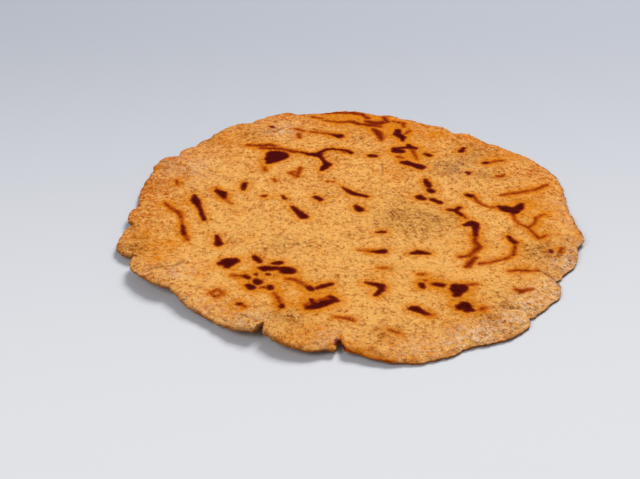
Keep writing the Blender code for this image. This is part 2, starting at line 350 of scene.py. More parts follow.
# Then the toasted ones, red-brown to orange
TOAST_MARKS = (
    ((-46, 64, 0.9), (-41, 63.6, 1.2), (-36, 64.2, 1.2), (-32.6, 62.8, 0.8)),
    ((-40, 61, 1.0), (-35.6, 60.8, 1.2), (-30.4, 60.2, 1.1), (-25, 57.8, 1.3), (-21, 57, 0.8)),
    ((-5.6, 74.2, 0.8), (-10, 75.6, 0.7), (-17.4, 77.4, 0.6)),
    ((-24, 80.6, 0.9), (-20.4, 78.2, 0.7)),
    ((-22.9, 75.4, 0.8), (-22.2, 71.6, 0.9)),
    ((-37.4, 42.4, 0.6), (-37, 39.8, 0.7)),
    ((-26.2, 38, 0.7), (-24, 38.3, 0.6), (-21.8, 38.8, 0.7), (-21.4, 42.2, 0.9)),
    ((-26, 37.6, 0.7), (-22.6, 34, 0.6), (-22.2, 38.4, 0.8)),
    ((-33.1, 32.2, 0.5), (-32.2, 29.6, 0.4)),
    ((-9.6, 30, 0.5), (-6.8, 29.7, 0.5)),
    ((-57.6, 24.4, 0.4), (-56.8, 21.6, 0.6)),
    ((-53.6, 16, 0.7), (-51.4, 12, 0.4), (-50, 10.6, 0.3)),
    ((-78.8, 11.2, 0.6), (-74.9, 6.3, 1.0), (-72, 3.4, 1.0), (-70, -2.6, 0.5)),
    ((-70, -2.6, 0.4), (-69.3, -7.4, 0.6)),
    ((-67.6, -14.4, 0.6), (-66.2, -18.4, 0.7)),
    ((-75.6, 31, 0.5), (-74.6, 26.8, 0.6)),
    ((12.6, 80, 1.2), (14.4, 77, 2.0), (15.6, 72, 1.7), (15.8, 68.6, 0.8)),
    ((29.6, 78.4, 0.7), (27.4, 75.4, 0.9)),
    ((10, 88, 1.6), (14, 86, 2.4), (19, 88, 1.6), (18, 92.6, 1.1)),
    ((10.4, 84.4, 1.8), (16, 82.8, 1.0)),
    ((-10, 88.8, 0.6), (-4, 87.4, 0.6), (2.4, 88, 1.4), (6, 85.6, 1.3), (10.4, 84.4, 1.2)),
    ((-12, 96.4, 0.6), (-4, 97.4, 1.0), (3, 97.2, 1.4), (8, 95.6, 1.2), (10, 91.4, 1.1)),
    ((-16, 93, 0.7), (-12, 91.4, 0.6)),
    ((22, 88.4, 0.7), (26.8, 86.4, 0.9), (27, 82.4, 0.7)),
    ((-3, 59, 0.4), (-1.4, 57, 0.4)),
    ((22.6, 52.6, 0.9), (24.6, 51.6, 0.8)),
    ((28.6, 62, 1.0), (29.8, 57.6, 0.8), (31, 50.6, 0.6)),
    ((64, 47.4, 0.7), (67, 48.8, 0.6), (70, 49, 0.5)),
    ((65.4, 34.6, 0.7), (67, 34.4, 0.8), (68.6, 36, 0.6)),
    ((53, 16.8, 0.7), (54.4, 12.6, 0.6), (56.4, 9.4, 0.6), (58.4, 7.8, 0.5), (62.6, 7.6, 0.6)),
    ((64.6, 17.6, 0.7), (70, 19.4, 0.8), (75.6, 20.8, 0.8), (80.6, 22.8, 0.7), (85.9, 26.8, 0.7)),
    ((47, 0.4, 0.6), (47.9, -1.2, 0.6)),
    ((67.8, 2.6, 0.7), (68.2, -2, 0.5), (69.4, -5.6, 0.5), (72.6, -8.8, 0.7)),
    ((72.6, -8.8, 0.7), (76.4, -5, 0.5), (77.4, -0.6, 0.6), (81, 1.6, 0.4)),
    ((72.6, -8.8, 0.6), (74.4, -13, 0.6), (76, -17, 0.8), (80, -14.6, 0.4)),
    ((-26, -46.4, 0.4), (-22.6, -47, 0.8), (-19.6, -49.6, 0.7), (-17.4, -52, 0.8)),
    ((-46.8, -43.8, 0.7), (-43.6, -44.6, 0.6), (-41.4, -44.8, 0.7)),
    ((-35, -52.4, 0.6), (-32, -52.4, 0.7)),
    ((-30.2, -56.4, 0.5), (-28.2, -60, 0.8), (-27.2, -64, 0.8)),
    ((-18, -63.8, 0.9), (-14, -61.6, 0.6), (-9.4, -59.4, 0.9)),
    ((50.6, -15, 0.8), (49.8, -19.4, 1.0), (51, -23.8, 1.4), (48.4, -27.4, 1.2)),
    ((48.4, -27.4, 1.2), (46.4, -30.6, 0.9), (42.8, -31, 0.9)),
    ((48.8, -31.4, 1.0), (46.6, -35, 1.5), (44.8, -38.2, 1.2)),
    ((66, -20.6, 0.6), (65.2, -25, 0.7), (64, -29.4, 0.6), (60.4, -32.6, 0.5)),
    ((60.4, -32.6, 0.5), (56, -34.4, 0.6), (50, -36, 0.7)),
    ((2.8, -25.8, 0.25), (8, -27.1, 0.4)),
    ((10, -38.8, 0.4), (13, -38.9, 0.5)),
    ((25.6, -43.4, 0.6), (27.4, -43.5, 0.7)),
    ((27.4, -47.6, 0.5), (28, -47.9, 0.5)),
    ((29.6, -49.9, 0.6), (31.4, -50.4, 0.8)),
    ((43.4, -51, 0.7), (47.4, -50.2, 0.4)),
    ((61, -41.4, 0.6), (65, -40.6, 0.8), (69, -41.2, 0.7), (72, -41, 0.4)),
    ((61.8, -53.8, 0.7), (63.6, -55.2, 1.0), (68.4, -53.4, 0.4)),
    ((47, -67.2, 0.7), (48, -66, 0.7)),
    ((27, -70, 0.6), (28.4, -70.6, 0.4)),
    ((-6.8, -71.9, 0.5), (-3, -72.4, 0.7), (-0.4, -74, 0.7)),
    ((-51.6, -53.8, 0.4), (-54.4, -56.2, 0.5), (-51.8, -59, 0.4), (-49.4, -56.6, 0.5)),
    ((-49.4, -56.6, 0.5), (-51.6, -53.8, 0.4)),
    ((-43.6, -63.2, 0.5), (-40.8, -65, 0.5)),
    ((12.6, -79.6, 0.4), (15.4, -81.8, 0.5)),
    ((83, -27.4, 0.8), (84, -24.8, 0.7)),
    ((-3.6, -91.8, 0.7), (0, -94.6, 1.0), (4, -97.2, 1.0), (12, -99, 0.7)),
    ((-4, 100.6, 0.5), (3, 101.2, 0.6), (9, 99.4, 0.6), (14.6, 95.6, 0.6)),
)

# Soft browned patches: x, y, radius and strength
AMBER_PATCHES = (
    (2, 92, 13, 0.9),
    (17, 86, 10, 0.9),
    (29, 57, 9, 0.75),
    (42, 74, 6.5, 0.8),
    (-56, 68.6, 6, 0.6),
    (-40, 63, 6, 0.6),
    (-52, 52, 3.5, 0.5),
    (-36, 44.5, 5, 0.5),
    (-75, 30, 5, 0.45),
    (-76, 8, 7, 0.5),
    (-78, -24, 8, 0.6),
    (-71, -21, 4, 0.5),
    (-84, -14, 6, 0.4),
    (-42.3, -17.7, 3.5, 0.4),
    (-47, 4, 3.5, 0.45),
    (-60.6, -40.5, 5, 0.8),
    (-77, -33, 4, 0.5),
    (-38, -46, 10, 0.55),
    (-22, -53, 10, 0.55),
    (-13, -62, 9, 0.55),
    (-52, -56.5, 5, 0.5),
    (-44.5, -69, 5, 0.75),
    (-56, -64, 5, 0.35),
    (-15.6, -81, 6, 0.7),
    (-23, -87, 5, 0.5),
    (9, -52, 7, 0.3),
    (13, -42, 5, 0.4),
    (30, -49, 7, 0.6),
    (40, -56, 8, 0.55),
    (42, -66, 7, 0.55),
    (36, -78, 6, 0.65),
    (52, -75, 7, 0.5),
    (49, -24, 9, 0.55),
    (64, -30, 7, 0.4),
    (67, -41, 6, 0.5),
    (76, -12, 9, 0.55),
    (73, 12, 9, 0.7),
    (84, 4, 8, 0.5),
    (80, 24, 7, 0.5),
    (65, 50, 6, 0.45),
    (20, 38, 6, 0.4),
    (76, 55, 7, 0.35),
    (60, 70, 6, 0.35),
    (79, -38, 5, 0.6),
    (13, -85, 5, 0.45),
    (24, 76, 7, 0.6),
    (20, -96, 10, 0.5),
    (0, -92, 6, 0.6),
)

# Grey-brown patches where the bran lies thick and the crust hardly browned
DUSKY_PATCHES = (
    (47, 43, 9, 0.8),
    (57, 57, 8, 0.7),
    (61, 35, 6, 0.5),
    (25, 0, 13, 0.75),
    (77, -28, 8, 1.2),
    (-25, -70, 7, 0.9),
    (-87, -24, 6, 0.9),
    (6, 72, 5, 0.4),
    (-43, -76, 5, 0.8),
    (50, -75, 6, 0.7),
    (57, -66, 6, 0.5),
    (12, -83, 6, 0.5),
    (-45, 76, 7, 0.4),
    (-60, 66, 7, 0.35),
    (-84, 44, 5, 0.4),
    (38, -5, 8, 0.4),
    (-28, -22, 7, 0.35),
)

# Distances from a mark are kept up to this one, and marks lie on what is higher than this share
# of the thickness
FIELD_REACH = 12.0
TOP_SHARE = 0.45

# Bran
FLECK_LENGTH = 0.8
FLECKS_PER_CM2 = 9.0
FLECK_SEED = 7
CM2_PER_M2 = 1e4

# Depths of the finest relief, and the gloss of dry crust
CRUST_BUMP = 0.62
BRAN_BUMP = 0.02
DRY_GLOSS = 0.02

# The stage: the floor's size in metres, the lights' power in watts, and each lamp's place, size
# and tint
FLOOR_SIZE = 8.0
KEY_POWER = 20.2
SIDE_POWER = 8.4
SKY_STRENGTH = 0.22
KEY_LAMP = ((0.5, 0.8, 1.2), 0.7, (1.0, 0.985, 0.96))
SIDE_LAMP = ((-0.9, -0.8, 1.1), 0.8, (0.97, 0.985, 1.0))
SKY_TINT = (0.92, 0.95, 1.0, 1.0)

# The camera, and the level plane, in millimetres, on which the marks were laid out
CAMERA_LENS = 70.0
SENSOR_WIDTH = 36.0
CAMERA_AIM = (-0.0127, -0.0132, -0.001)
CAMERA_ELEVATION = 32.0
CAMERA_DISTANCE = 0.510
MARK_LEVEL = 2.5
MARK_ORIGIN = (0.0, -0.75)


def camera_place():
    """Where the camera stands, in metres."""
    rise = math.radians(CAMERA_ELEVATION)
    back = Vector((0, -math.cos(rise), math.sin(rise)))
    return Vector(CAMERA_AIM) + back * CAMERA_DISTANCE


# ---------------------------------------------------------------- the form of the bread


def turn_between(bearing, other):
    """Degrees from one bearing to another, the short way round."""
    return (bearing - other + 180) % 360 - 180


def crowded_bearings(shares):
    """Bearings for equal shares of the rim's points, which lie closer together at the splits."""
    steps = np.arange(BEARING_STEPS + 1) * (360 / BEARING_STEPS)
    density = np.ones_like(steps)
    for bearing, depth, _, _ in RIM_SPLITS:
        nearness = np.exp(-((turn_between(steps, bearing) / CROWDED_DEGREES) ** 2))
        density += SPLIT_CROWDING * min(depth / FULLY_CROWDED_DEPTH, 1) * nearness
    passed = np.concatenate([[0], np.cumsum((density[1:] + density[:-1]) / 2)])
    return np.interp(shares, passed / passed[-1], steps)


def rim_radius(bearing):
    """Distance from the middle to the lobed rim."""
    starts, offsets, swells = (np.array(column, float) for column in zip(*EDGE_LOBES))
    spans = np.diff(np.append(starts, starts[0] + 360))
    past_first = (bearing - starts[0]) % 360 + starts[0]
    lobe = np.searchsorted(starts, past_first, side="right") - 1
    along = (past_first - starts[lobe]) / spans[lobe]
    chord = offsets[lobe] * (1 - along) + np.roll(offsets, -1)[lobe] * along
    radius = ROUND_RADIUS + chord + swells[lobe] * 4 * along * (1 - along)
    for at, half_width, size in SMALL_LOBES:
        radius += size * np.exp(-((turn_between(bearing, at) / half_width) ** 2))
    return radius


def split_depth(bearing):
    """How deep the splits and their flared mouths cut into the rim."""
    cut = np.zeros_like(bearing)
    for at, depth, half_width, _ in RIM_SPLITS:
        across = np.radians(np.abs(turn_between(bearing, at))) * ROUND_RADIUS
        slot = np.clip(1 - across / half_width, 0, 1) ** SPLIT_BLUNTNESS
        mouth = np.clip(1 - across / (half_width * MOUTH_WIDTH), 0, 1) ** MOUTH_FLARE
        cut = np.maximum(cut, depth * slot)
        cut += MOUTH_SHARE * depth * mouth
    return cut


def split_step(bearing, inward):
    """Height by which the lobes beside a split ride over or under each other."""
    step = np.zeros_like(bearing)
    for at, _, half_width, height in RIM_SPLITS:
        across = np.radians(turn_between(bearing, at)) * ROUND_RADIUS
        side = np.clip(across / half_width, -1, 1) / 2
        step += height * side * np.exp(-np.abs(across) / SPLIT_REACH)
    return step * np.exp(-inward / SPLIT_REACH)


def smooth_noise(x, y, length, seed):
    """Noise of about -1 to 1 over the plane, with features of the given length."""
    heights = [noise.noise((a, b, seed)) for a, b in zip(x / length, y / length)]
    return np.array(heights) * NOISE_GAIN


def bumps(x, y, rows):
    """Sum of rounded bumps from rows of x, y, radius and height."""
    total = np.zeros_like(x)
    for at_x, at_y, radius, height in rows:
        total += height * np.exp(-((x - at_x) ** 2 + (y - at_y) ** 2) / radius**2)
    return total


def stroke_distance(x, y, strokes):
    """Distance outside the nearest stroke; negative inside. A stroke is a row of round spots
    (x, y, half width) joined by tapering bands."""
    nearest = np.full_like(x, FIELD_REACH)
    for stroke in strokes:
        for (ax, ay, ar), (bx, by, br) in zip(stroke[:-1], stroke[1:]):
            run_x, run_y = bx - ax, by - ay
            along = ((x - ax) * run_x + (y - ay) * run_y) / (run_x**2 + run_y**2)
            along = np.clip(along, 0, 1)
            off = np.hypot(x - ax - run_x * along, y - ay - run_y * along)
            nearest = np.minimum(nearest, off - ar - (br - ar) * along)
    return nearest


def crinkle_relief(x, y, bearing, inward):
    """Fine ripples square to the rim, within the CRINKLES patches."""
    around = np.radians(bearing) * ROUND_RADIUS
    ripple = smooth_noise(around / CRINKLE_WIDTH, inward / CRINKLE_LENGTH, 1.0, CRINKLE_SEED)
    crumb = smooth_noise(x, y, CRUMB_LENGTH, CRUMB_SEED)
    return bumps(x, y, CRINKLES) * (ripple + CRUMB_SHARE * crumb)


def rim_raggedness(bearing):
    """How far the torn and dried edge wanders in and out."""
    turn = np.radians(bearing)
    x, y = np.cos(turn) * ROUND_RADIUS, np.sin(turn) * ROUND_RADIUS
    return sum(
        size * smooth_noise(x, y, length, RAGGED_SEED + length) for length, size in RIM_RAGGEDNESS
    )


def crust_relief(x, y):
    """Unevenness of the baked top, in layers from coarse to fine."""
    return sum(size * smooth_noise(x, y, length, length) for length, size in CRUST_RELIEF)


class RingRow:
    """The rings of points that make the skin: how many points in each, how far in from the rim
    each lies, and how far up through the bread, from 0 below to 1 on top."""

    def __init__(self):
        self.counts = []
        self.inward = []
        self.through = []
        reach = ROUND_RADIUS - RIM_BULGE
        for ring in range(TOP_RINGS + 1):
            self.add(max(6 * ring, 1), reach * (1 - self.spread(ring / TOP_RINGS)), 1.0)
        for row in range(1, RIM_ROWS + 1):
            turn = math.pi * row / (RIM_ROWS + 1)
            self.add(6 * TOP_RINGS, -RIM_BULGE * math.sin(turn), 0.5 + 0.5 * math.cos(turn))
        for ring in range(UNDER_RINGS, -1, -1):
            self.add(max(6 * ring, 1), reach * (1 - self.spread(ring / UNDER_RINGS)), 0.0)

    def spread(self, share):
        return share * (1 + RIM_CROWDING * (1 - share))

    def add(self, count, inward, through):
        self.counts.append(count)
        self.inward.append(inward + RIM_BULGE)
        self.through.append(through)

    def points(self):
        """Share of the way round, distance in from the rim and height share of every point."""
        around = np.concatenate([np.arange(count) / count for count in self.counts])
        inward = np.repeat(self.inward, self.counts)
        through = np.repeat(self.through, self.counts)
        return around, inward, through

    def faces(self):
        """Triangles between neighbouring rings, which may differ in their number of points."""
        strips = []
        first = 0
        for inner, outer in zip(self.counts[:-1], self.counts[1:]):
            strips.extend(self.strip(first, inner, first + inner, outer))
            first += inner
        return np.concatenate(strips)

    @staticmethod
    def strip(first_a, count_a, first_b, count_b):
        """Triangles between ring a and the next ring b, both anticlockwise from above."""
        made = []
        if count_a > 1:
            step = np.arange(count_a)
            apex = -(-((2 * step + 1) * count_b - count_a) // (2 * count_a))
            corners = (first_a + step, first_b + apex % count_b, first_a + (step + 1) % count_a)
            made.append(np.stack(corners, 1))
        if count_b > 1:
            step = np.arange(count_b)
            apex = ((2 * step + 1) * count_a - count_b) // (2 * count_b) + 1
            corners = (first_b + step, first_b + (step + 1) % count_b, first_a + apex % count_a)
            made.append(np.stack(corners, 1))
        return made


def shape_skin(rings):
    """Points of the baked skin in millimetres, and what the finish needs to know about each."""
    around, inward, through = rings.points()
    bearing = crowded_bearings(around)
    share = 1 - inward / ROUND_RADIUS
    lobed = ROUND_RADIUS + (rim_radius(bearing) - ROUND_RADIUS) * share**2
    cut = split_depth(bearing) * np.maximum(share, 0) ** SPLIT_FADE
    ragged = rim_raggedness(bearing) * np.exp(-inward / RAGGED_REACH)
    radius = share * lobed - cut + ragged
    turn = np.radians(bearing)
    x, y = radius * np.cos(turn), radius * np.sin(turn)

    lifted = bumps(x, y, RISES) + split_step(bearing, inward)
    lifted += WAVE_HEIGHT * smooth_noise(x, y, WAVE_LENGTH, 0.0) / NOISE_GAIN
    low = np.maximum(lifted - CONTACT_DROP, 0)
    along = np.clip(inward / RIM_TAPER, 0, 1)
    thickness = RIM_THICKNESS + (THICKNESS - RIM_THICKNESS) * along * along * (3 - 2 * along)
    high = low + thickness + bumps(x, y, BLISTERS)
    relief = crust_relief(x, y) + crinkle_relief(x, y, bearing, inward)
    crack = stroke_distance(x, y, CRACKS)
    ridge = stroke_distance(x, y, RIDGES)
    relief += RIDGE_HEIGHT * np.clip(-ridge, 0, 1)
    relief -= CRACK_DEPTH * np.clip(1 - crack / CRACK_SLOPE, 0, 1)
    rounded = RIM_ROUNDING * np.exp(-np.maximum(inward - RIM_BULGE, 0) / ROUNDING_REACH)
    for at, half_width, drop in RIM_DROOPS:
        nearness = np.exp(-((turn_between(bearing, at) / half_width) ** 2))
        rounded += drop * nearness * np.exp(-inward / DROOP_REACH)
    high += (relief - rounded) * np.clip(through * 2 - 1, 0, 1)
    z = low + (high - low) * through
    return np.stack([x, y, z], 1), inward, through, crack


def marks_on(points):
    """Each point's place on the level plane on which the marks are laid out."""
    eye = np.array(camera_place()) / MM
    fall = (points[:, 2] - MARK_LEVEL) / (eye[2] - points[:, 2])
    laid = points[:, :2] + fall[:, None] * (points[:, :2] - eye[:2]) - MARK_ORIGIN
    return laid[:, 0], laid[:, 1]


def give_attribute(mesh, name, values):
    layer = mesh.attributes.new(name, "FLOAT", "POINT")
    layer.data.foreach_set("value", np.asarray(values, np.float32))


def placed(name, data):
    """A new object in the scene."""
    made = bpy.data.objects.new(name, data)
    bpy.context.scene.collection.objects.link(made)
    return made


def make_skin():
    """The whole skin of the bread as one closed mesh, with its marks as attributes."""
    rings = RingRow()
    points, inward, through, crack = shape_skin(rings)
    middle = (points.max(0) + points.min(0)) / 2
    middle[2] = points[:, 2].min()
    points -= middle
    mesh = bpy.data.meshes.new("roti_skin")
    mesh.from_pydata((points * MM).tolist(), [], rings.faces().tolist())
    x, y = marks_on(points)
    for name, values, elsewhere in (
        ("char", stroke_distance(x, y, CHAR_MARKS), FIELD_REACH),
        ("toast", stroke_distance(x, y, TOAST_MARKS), FIELD_REACH),
        ("amber", bumps(x, y, AMBER_PATCHES), 0),
        ("dusky", bumps(x, y, DUSKY_PATCHES), 0),
        ("crinkled", bumps(x, y, CRINKLES), 0),
    ):
        give_attribute(mesh, name, np.where(through > TOP_SHARE, values, elsewhere))
    give_attribute(mesh, "crack", crack)
    give_attribute(mesh, "inward", inward)
    give_attribute(mesh, "through", through)
    mesh.shade_smooth()
    return placed("roti_skin", mesh)


# ---------------------------------------------------------------- finishes


def linear(red, green, blue):
    """A colour given as the 0 to 255 values of a screen, as the linear values of a shader."""
    shares = (red / 255, green / 255, blue / 255)
    return tuple(s / 12.92 if s <= 0.04045 else ((s + 0.055) / 1.055) ** 2.4 for s in shares)


class Value:
    """A number or colour that a node gives out; its arithmetic adds Math nodes."""

    def __init__(self, finish, socket):
        self.finish = finish
        self.socket = socket

    def __add__(self, other):
        return self.finish.maths("ADD", self, other)

    def __sub__(self, other):
        return self.finish.maths("SUBTRACT", self, other)

    def __rsub__(self, other):
        return self.finish.maths("SUBTRACT", other, self)

    def __mul__(self, other):
        return self.finish.maths("MULTIPLY", self, other)

    __radd__ = __add__
    __rmul__ = __mul__

    def within(self):
        """The value held between 0 and 1."""
        return self.finish.maths("ADD", self, 0.0, clamp=True)

    def rise(self, low, high):
        """0 up to low, 1 from high on, and a smooth step between."""
        settings = {"interpolation_type": "SMOOTHSTEP"}
        sockets = {"Value": self, "From Min": low, "From Max": high}
        return self.finish.node("ShaderNodeMapRange", settings, sockets)


class NodeMaker:
    """What finishes and Geometry Nodes share: one way to add any node."""

    def add(self, kind, settings=None, sockets=None):
        """Adds a node, sets it, and fills its sockets with values or links."""
        made = self.tree.nodes.new(kind)
        for name, setting in (settings or {}).items():
            setattr(made, name, setting)
        for key, given in (sockets or {}).items():
            given = given.socket if isinstance(given, Value) else given
            if isinstance(given, bpy.types.NodeSocket):
                self.tree.links.new(given, made.inputs[key])
            else:
                made.inputs[key].default_value = given
        return made


class Finish(NodeMaker):
    """A material in the making, and its colour so far."""

    def __init__(self, name):
        self.material = bpy.data.materials.new(name)
        self.material.use_nodes = True
        self.tree = self.material.node_tree
        self.tree.nodes.clear()
        self.place = self.node("ShaderNodeTexCoord", output="Object")
        self.colour = None

    def node(self, kind, settings=None, sockets=None, output=0):
        """One output of a new node, ready for arithmetic."""
        return Value(self, self.add(kind, settings, sockets).outputs[output])

    def maths(self, operation, first, second, clamp=False):
        settings = {"operation": operation, "use_clamp": clamp}
        return self.node("ShaderNodeMath", settings, {0: first, 1: second})

    def mix(self, share, first, second):
        """Colour between two others."""
        settings = {"data_type": "RGBA", "blend_type": "MIX", "clamp_factor": True}
        sockets = {0: share, 6: self.opaque(first), 7: self.opaque(second)}
        return self.node("ShaderNodeMix", settings, sockets, output=2)

    def coat(self, share, tint):
        """Lays another colour over the one so far."""
        self.colour = self.mix(share, self.colour, tint)

    @staticmethod
    def opaque(colour):
        return colour if isinstance(colour, Value) else (*colour[:3], 1.0)

    def attribute(self, name):
        return self.node("ShaderNodeAttribute", {"attribute_name": name}, output="Fac")

    def along(self, axis):
        """Place along one axis of the object, in metres."""
        return self.node("ShaderNodeSeparateXYZ", None, {0: self.place}, output=axis)

    def grain(self, length, detail=2.0, roughness=0.5, seed=0.0):
        """Noise of about -1 to 1 with features of the given length in metres."""
        sockets = {
            "Vector": self.place,
            "W": seed,
            "Scale": 1 / length,
            "Detail": detail,
            "Roughness": roughness,
        }
        cloud = self.node("ShaderNodeTexNoise", {"noise_dimensions": "4D"}, sockets)
        return (cloud - 0.5) * 3.0

    def cells(self, length, seed=0.0):
        """Distance from the nearest of many scattered points, in shares of their spacing."""
        sockets = {"Vector": self.place, "W": seed, "Scale": 1 / length}
        return self.node("ShaderNodeTexVoronoi", {"voronoi_dimensions": "4D"}, sockets)

    def close(self, roughness, height=None, depth=0.0, **constants):
        """Ends the material in a Principled BSDF, with relief if a height is given."""
        sockets = {"Base Color": self.colour, "Roughness": roughness}
        if height is not None:
            relief = {"Strength": 1.0, "Distance": depth, "Height": height}
            sockets["Normal"] = self.node("ShaderNodeBump", None, relief)
        sockets.update((name.replace("_", " "), given) for name, given in constants.items())
        shader = self.node("ShaderNodeBsdfPrincipled", None, sockets)
        self.add("ShaderNodeOutputMaterial", None, {"Surface": shader})
        return self.material


def griddle_marks(skin, crust, char, toast, patchy, fine):
    """Marks of the griddle, from sienna at their edges to maroon. Gives how toasted and how burnt
    the crust is."""
    toasted = ((1 - toast.rise(-0.3, 1.5)) * (0.95 + 0.4 * patchy)).within()
    skin.coat(toasted, crust.ember)
    deep = (1 - (toast + 0.5 * patchy).rise(-0.8, 0.7)) * 0.92
    skin.coat(deep, crust.toast)
    darkest = (1 - (toast + 0.6 * patchy).rise(-1.3, -0.1)) * 0.6
    skin.coat(darkest, crust.scorch)
    browned = 1 - char.rise(0.1, 1.0)
    skin.coat(browned * 0.85, crust.toast)
    scorched = 1 - char.rise(-0.3, 0.35)
    skin.coat(scorched * 0.94, crust.scorch)
    burnt = 1 - (char + 0.4 * patchy).rise(-1.1, -0.2)
    skin.coat(burnt * 0.85, crust.char)
    glowing = burnt * fine.rise(0.45, 1.0)
    skin.coat(glowing * 0.45, crust.toast)
    return toasted, burnt


def crust_finish(crust):
    """Baked wholemeal crust: mottled and speckled, with toasted, charred and dusky places."""
    skin = Finish("baked_crust_finish")
    broad = skin.grain(24 * MM, 3.0, 0.55, 1.0)
    mottle = skin.grain(5 * MM, 3.0, 0.6, 2.0)
    patchy = skin.grain(2.4 * MM, 2.0, 0.6, 15.0)
    fine = skin.grain(1.1 * MM, 2.0, 0.6, 5.0)
    ragged = skin.grain(2.0 * MM, 2.0, 0.6, 3.0) * 0.55 + skin.grain(0.8 * MM, 1.0, 0.5, 4.0) * 0.3

    under = 1 - skin.attribute("through").rise(0.2, 0.45)
    inward = skin.attribute("inward")
    char = skin.attribute("char") + ragged * 0.85
    toast = skin.attribute("toast") + ragged * 1.3
    dusky = (skin.attribute("dusky") * (0.9 + 0.6 * mottle)).within()

    # The dough, browner towards the rim, towards the left side and towards the back, and where the
    # bran is thick.
    edge = 1 - inward.rise(0.0, 30.0)
    side = 1 - skin.along("X").rise(-0.092, -0.058)
    edge = edge + 0.7 * side + 1.3 * skin.along("Y").rise(-0.06, 0.09)
    warm = 0.06 + 0.16 * broad + 0.4 * mottle + 0.62 * patchy + 0.72 * fine + 0.26 * edge
    skin.colour = skin.mix(warm.within(), crust.pale, crust.warm)
    skin.coat(dusky * (0.75 + 0.4 * patchy), crust.dusky)

    # Crust browned by heat, in patches and around each burn.
    amber = skin.attribute("amber") * (0.9 + 0.9 * mottle + 0.4 * patchy)
    near = 1 - char.rise(-0.5, 5.2)
    halo = near * (0.95 + 0.6 * patchy) + (1 - toast.rise(-0.5, 4.2)) * (0.7 + 0.4 * patchy)
    ambered = (amber * 1.1 + halo).within()
    skin.coat(ambered * 0.92, crust.amber)

    # Bran in the dough, as short dark strokes and pale specks, with painted shade in the fine
    # creases.
    thick = 0.6 + 0.7 * dusky + 0.35 * mottle
    strokes = (skin.grain(1.15 * MM, 1.0, 0.5, 7.0) + 0.35 * patchy).rise(0.15, 0.75)
    crease = skin.grain(3.2 * MM, 2.0, 0.6, 16.0)
    # Painted shade: the fine creases are darkened to the bran colour along the same grooves that
    # the relief cuts.
    shaded_creases = (1 - (crease * crease).rise(0.0, 0.035)) * (fine + 0.5 * patchy).rise(-0.3, 0.5)
    lined = (0.26 + 0.55 * dusky + 0.18 * mottle + 0.14 * broad).within()
    stroked = (strokes * thick * 0.72).within() + shaded_creases * lined
    skin.coat(stroked.within(), crust.bran)
    flour = (skin.grain(1.4 * MM, 2.0, 0.6, 8.0) + 0.3 * patchy).rise(0.1, 0.7)
    skin.coat(flour * (0.75 - 0.55 * ambered), crust.flour)
    specks = 1 - skin.cells(2.6 * MM, 9.0).rise(0.14, 0.28)
    skin.coat(specks * 0.45, crust.bran)

    # Dried crinkles, with a painted highlight in a pale colour on their crests, and brown between.
    crinkled = (skin.attribute("crinkled") * 2.6).within()
    folds = skin.grain(2.6 * MM, 2.0, 0.5, 14.0)
    highlit_crest = (1 - (folds * folds).rise(0.0, 0.08)) * (0.6 + 0.5 * patchy)
    # Painted highlight: the crests are coloured pale where the crinkles would shine.
    skin.coat(crinkled * highlit_crest * 0.95, crust.highlit_crest)

    # Rim, painted shade on the lower side of the rim and on the underside, and the scattered
    # griddle spots below.
    rim = (1 - (inward + 0.9 * patchy).rise(-0.4, 1.8)) * (0.65 + 0.8 * mottle).within()
    skin.coat(rim * 0.75, crust.rim)
    # Painted shade: the lower side of the rim and the whole underside are darkened to the rim
    # colour.
    under_shade = 1 - (skin.attribute("through") + 0.12 * patchy).rise(0.3, 0.8)
    skin.coat(under_shade * 0.7, crust.rim)
    griddled = (skin.grain(13 * MM, 3.0, 0.6, 11.0) + 0.3 * mottle).rise(0.25, 0.9) * under
    skin.coat(griddled * 0.75, crust.toast)

    toasted, burnt = griddle_marks(skin, crust, char, toast, patchy, fine)
    split = 1 - skin.attribute("crack").rise(0.0, 0.45)
    skin.coat(split * 0.5, crust.scorch)

    glossy = (crinkled * (0.4 + 0.8 * highlit_crest) * (1 - toasted)).within()
    roughness = (0.62 + 0.08 * fine - 0.14 * crinkled - 0.12 * burnt).within()
    crumb = 0.5 * fine + 0.6 * patchy + 0.3 * skin.grain(0.45 * MM, 1.0, 0.5, 12.0)
    height = crumb - 0.4 * specks - shaded_creases * lined + 0.8 * crinkled * highlit_crest
    return skin.close(
        roughness,
        height,
        depth=CRUST_BUMP * MM,
        Coat_Weight=glossy * 0.25,
        Coat_Roughness=0.3,
        Specular_IOR_Level=DRY_GLOSS,
    )


def bran_finish(crust):
    """Flecks of husk, from straw to brown."""
    bran = Finish("bran_finish")
    tone = bran.attribute("fleck_tone")
    grain = bran.grain(0.25 * MM, 2.0, 0.5, 1.0)
    bran.colour = bran.mix((tone + 0.25 * grain).within(), crust.husk, crust.fleck)
    roughness = 0.7 + 0.1 * grain
    return bran.close(roughness, grain, depth=BRAN_BUMP * MM, Specular_IOR_Level=DRY_GLOSS)


def floor_finish(stage):
    """Pale matte board, with painted shade making it a little darker and bluer far behind the
    bread, where the light falls off.
    """
    floor = Finish("stage_floor_finish")
    far = floor.along("Y").rise(-0.2, 0.26)
    floor.colour = floor.mix(far, stage.floor, stage.floor_far_shade)
    return floor.close(0.6, Specular_IOR_Level=0.0)


# ---------------------------------------------------------------- bran flecks


MULTIPLIED = {"operation": "MULTIPLY"}


